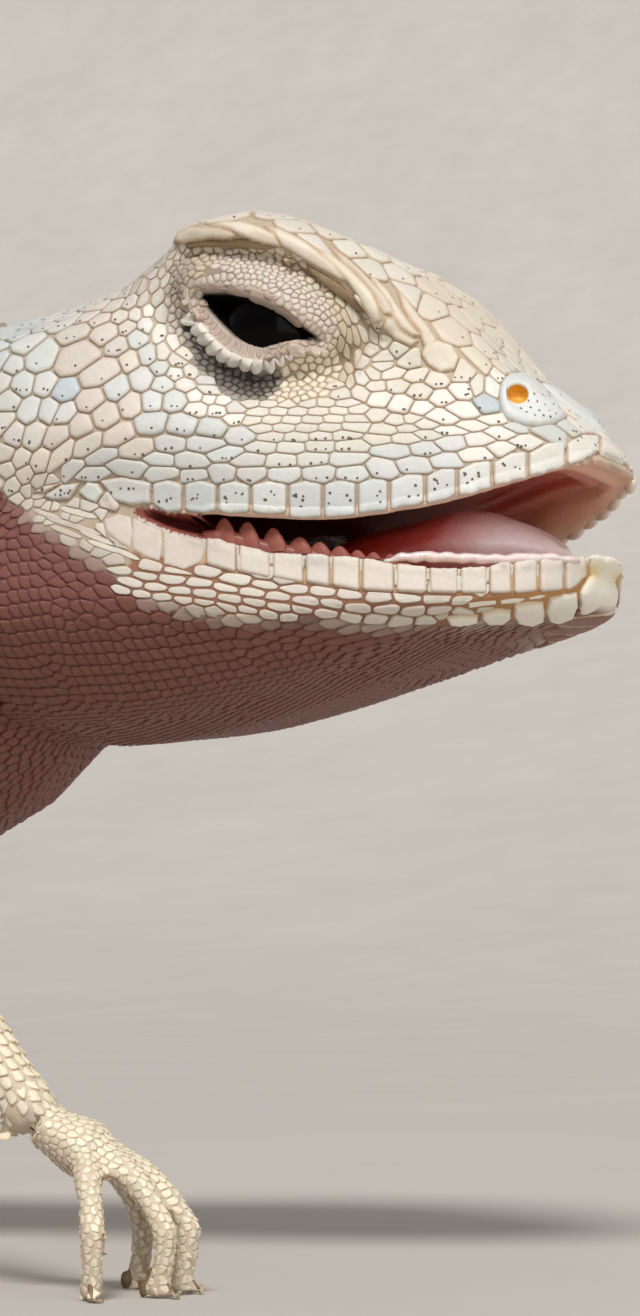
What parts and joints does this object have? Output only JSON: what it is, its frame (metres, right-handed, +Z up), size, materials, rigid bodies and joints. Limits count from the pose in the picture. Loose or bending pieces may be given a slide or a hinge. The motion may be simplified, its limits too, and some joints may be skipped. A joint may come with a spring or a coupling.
{
  "type": "sinai agama",
  "caption": "Still, life-size model of a Sinai agama lizard standing on its toes, head raised and mouth ajar, long tail laid on the floor.",
  "frame": {"origin": "on the floor under the middle of the whole lizard's box", "axes": "+X toward the snout, +Y to the lizard's left, +Z up"},
  "size_m": [0.2316, 0.0722, 0.0359],
  "materials": {
    "skin": "dry scaly skin, cream with bluish labial scales",
    "mouth": "pale scaly jaw, mauve brown throat, pink mouth floor",
    "tongue": "wet pink",
    "eye": "wet dark brown"
  },
  "bodies": {
    "root": {"head": "skin", "lower_jaw": "mouth", "neck": "skin", "torso": "skin", "tail_1": "skin", "tail_2": "skin", "tail_3": "skin", "tail_4": "skin", "upper_arm_right": "skin", "forearm_right": "skin", "hand_right": "skin", "thigh_right": "skin", "shin_right": "skin", "foot_right": "skin", "upper_arm_left": "skin", "forearm_left": "skin", "hand_left": "skin", "thigh_left": "skin", "shin_left": "skin", "foot_left": "skin", "tongue": "tongue", "eye_right": "eye", "eye_left": "eye"}
  },
  "joints": []
}
